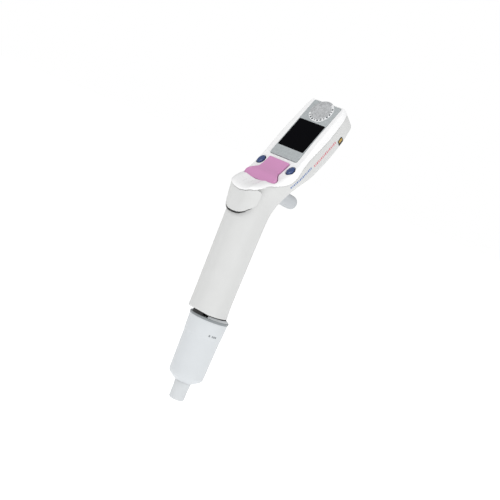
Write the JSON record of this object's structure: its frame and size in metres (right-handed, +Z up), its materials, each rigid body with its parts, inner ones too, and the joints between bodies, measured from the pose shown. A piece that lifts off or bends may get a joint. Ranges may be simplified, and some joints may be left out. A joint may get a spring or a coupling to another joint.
{
  "type": "adjustable micropipette",
  "caption": "Hand-held electronic pipette with a tilted control head, selection dial, rocker key, finger rest and tip ejector.",
  "frame": {"origin": "centre of the tip cone's mouth", "axes": "+Z up the tip cone, the piston and the handle; -Y is the side that the control face and the thumb keys are on; +Y is the side of the finger rest; +X is to the right when facing the display"},
  "size_m": [0.0452, 0.0841, 0.2765],
  "materials": {
    "shell_white": "smooth moulded plastic",
    "shell_grey": "fine matt moulded plastic",
    "sleeve_grey": "satin moulded polypropylene",
    "cone_grey": "satin moulded plastic",
    "panel_silver": "satin silver paint",
    "display_black": "glossy",
    "dial_grey": "satin",
    "rocker_violet": "satin",
    "key_navy": "glossy",
    "rest_grey": "fine matt moulded plastic",
    "ring_grey": "satin",
    "recess_black": "matt",
    "inner_plastic": "matt",
    "steel": "turned",
    "spring_steel": "drawn wire",
    "motor_steel": "satin",
    "contact_gold": "gold plated",
    "board_green": "solder mask",
    "battery_wrap": "shrink sleeve",
    "seal_rubber": "matt",
    "filter_white": "porous",
    "piston_white": "polished"
  },
  "bodies": {
    "body": {"front_shell": "shell_white", "body_shell": "shell_grey", "battery_cover": "shell_grey", "control_panel": "panel_silver", "display_window": "display_black", "display_gasket": "seal_rubber", "display_module": "inner_plastic", "rotary_switch": "inner_plastic", "main_board": "board_green", "board_screws": "steel", "rocker_pin": "steel", "rocker_bracket": "inner_plastic", "key_switches": "inner_plastic", "battery_pack": "battery_wrap", "power_socket": "recess_black", "contact_holders": "recess_black", "charging_contacts": "contact_gold", "finger_rest": "rest_grey", "ejector_spring": "spring_steel", "tip_cone": "cone_grey", "tip_filter": "filter_white", "cone_seal": "seal_rubber", "volume_cylinder": "steel", "coupling_collar": "recess_black", "rod_guide": "inner_plastic", "motor_mount": "inner_plastic", "motor_housing": "motor_steel", "motor_bearings": "steel", "position_sensor": "recess_black"},
    "dial": {"selection_dial": "dial_grey", "dial_shaft": "steel"},
    "rocker": {"rocker_key": "rocker_violet"},
    "softkey_left": {"softkey_left": "key_navy"},
    "softkey_right": {"softkey_right": "key_navy"},
    "ejector": {"ejector_button": "shell_grey", "ejector_rail": "recess_black", "ejector_ring": "ring_grey", "ejector_sleeve": "sleeve_grey"},
    "piston": {"piston": "piston_white", "piston_seal": "seal_rubber", "piston_rod": "steel", "lead_screw": "steel"},
    "rotor": {"motor_rotor": "motor_steel"}
  },
  "joints": [
    {"name": "dial_turn", "type": "hinge", "parent": "body", "child": "dial", "pos_m": [0, 0.03318, 0.26594], "axis": [0, -0.8862, 0.4633], "continuous": true},
    {"name": "rocker_tilt", "type": "hinge", "parent": "body", "child": "rocker", "pos_m": [0, 0.0036, 0.203], "axis": [1, 0, 0], "range_deg": [-3, 3], "stiffness_Nm_per_rad": 0.6},
    {"name": "softkey_left_press", "type": "slide", "parent": "body", "child": "softkey_left", "axis": [0, 0.809, -0.5878], "range_m": [0, 0.0005], "stiffness_N_per_m": 800, "springref_m": -0.0005},
    {"name": "softkey_right_press", "type": "slide", "parent": "body", "child": "softkey_right", "axis": [0, 0.809, -0.5878], "range_m": [0, 0.0005], "stiffness_N_per_m": 800, "springref_m": -0.0005},
    {"name": "eject", "type": "slide", "parent": "body", "child": "ejector", "axis": [0, 0, -1], "range_m": [0, 0.009], "stiffness_N_per_m": 700, "springref_m": -0.006, "deforming": ["ejector_spring"]},
    {"name": "motor_spin", "type": "hinge", "parent": "body", "child": "rotor", "pos_m": [0, 0, 0.126], "axis": [0, 0, 1], "range_deg": [0, 2250]},
    {"name": "piston_travel", "type": "slide", "parent": "body", "child": "piston", "axis": [0, 0, 1], "range_m": [0, 0.025]}
  ],
  "couplings": [
    {"joint": "motor_spin", "follows": "piston_travel", "rad_per_m": 1570.8}
  ]
}
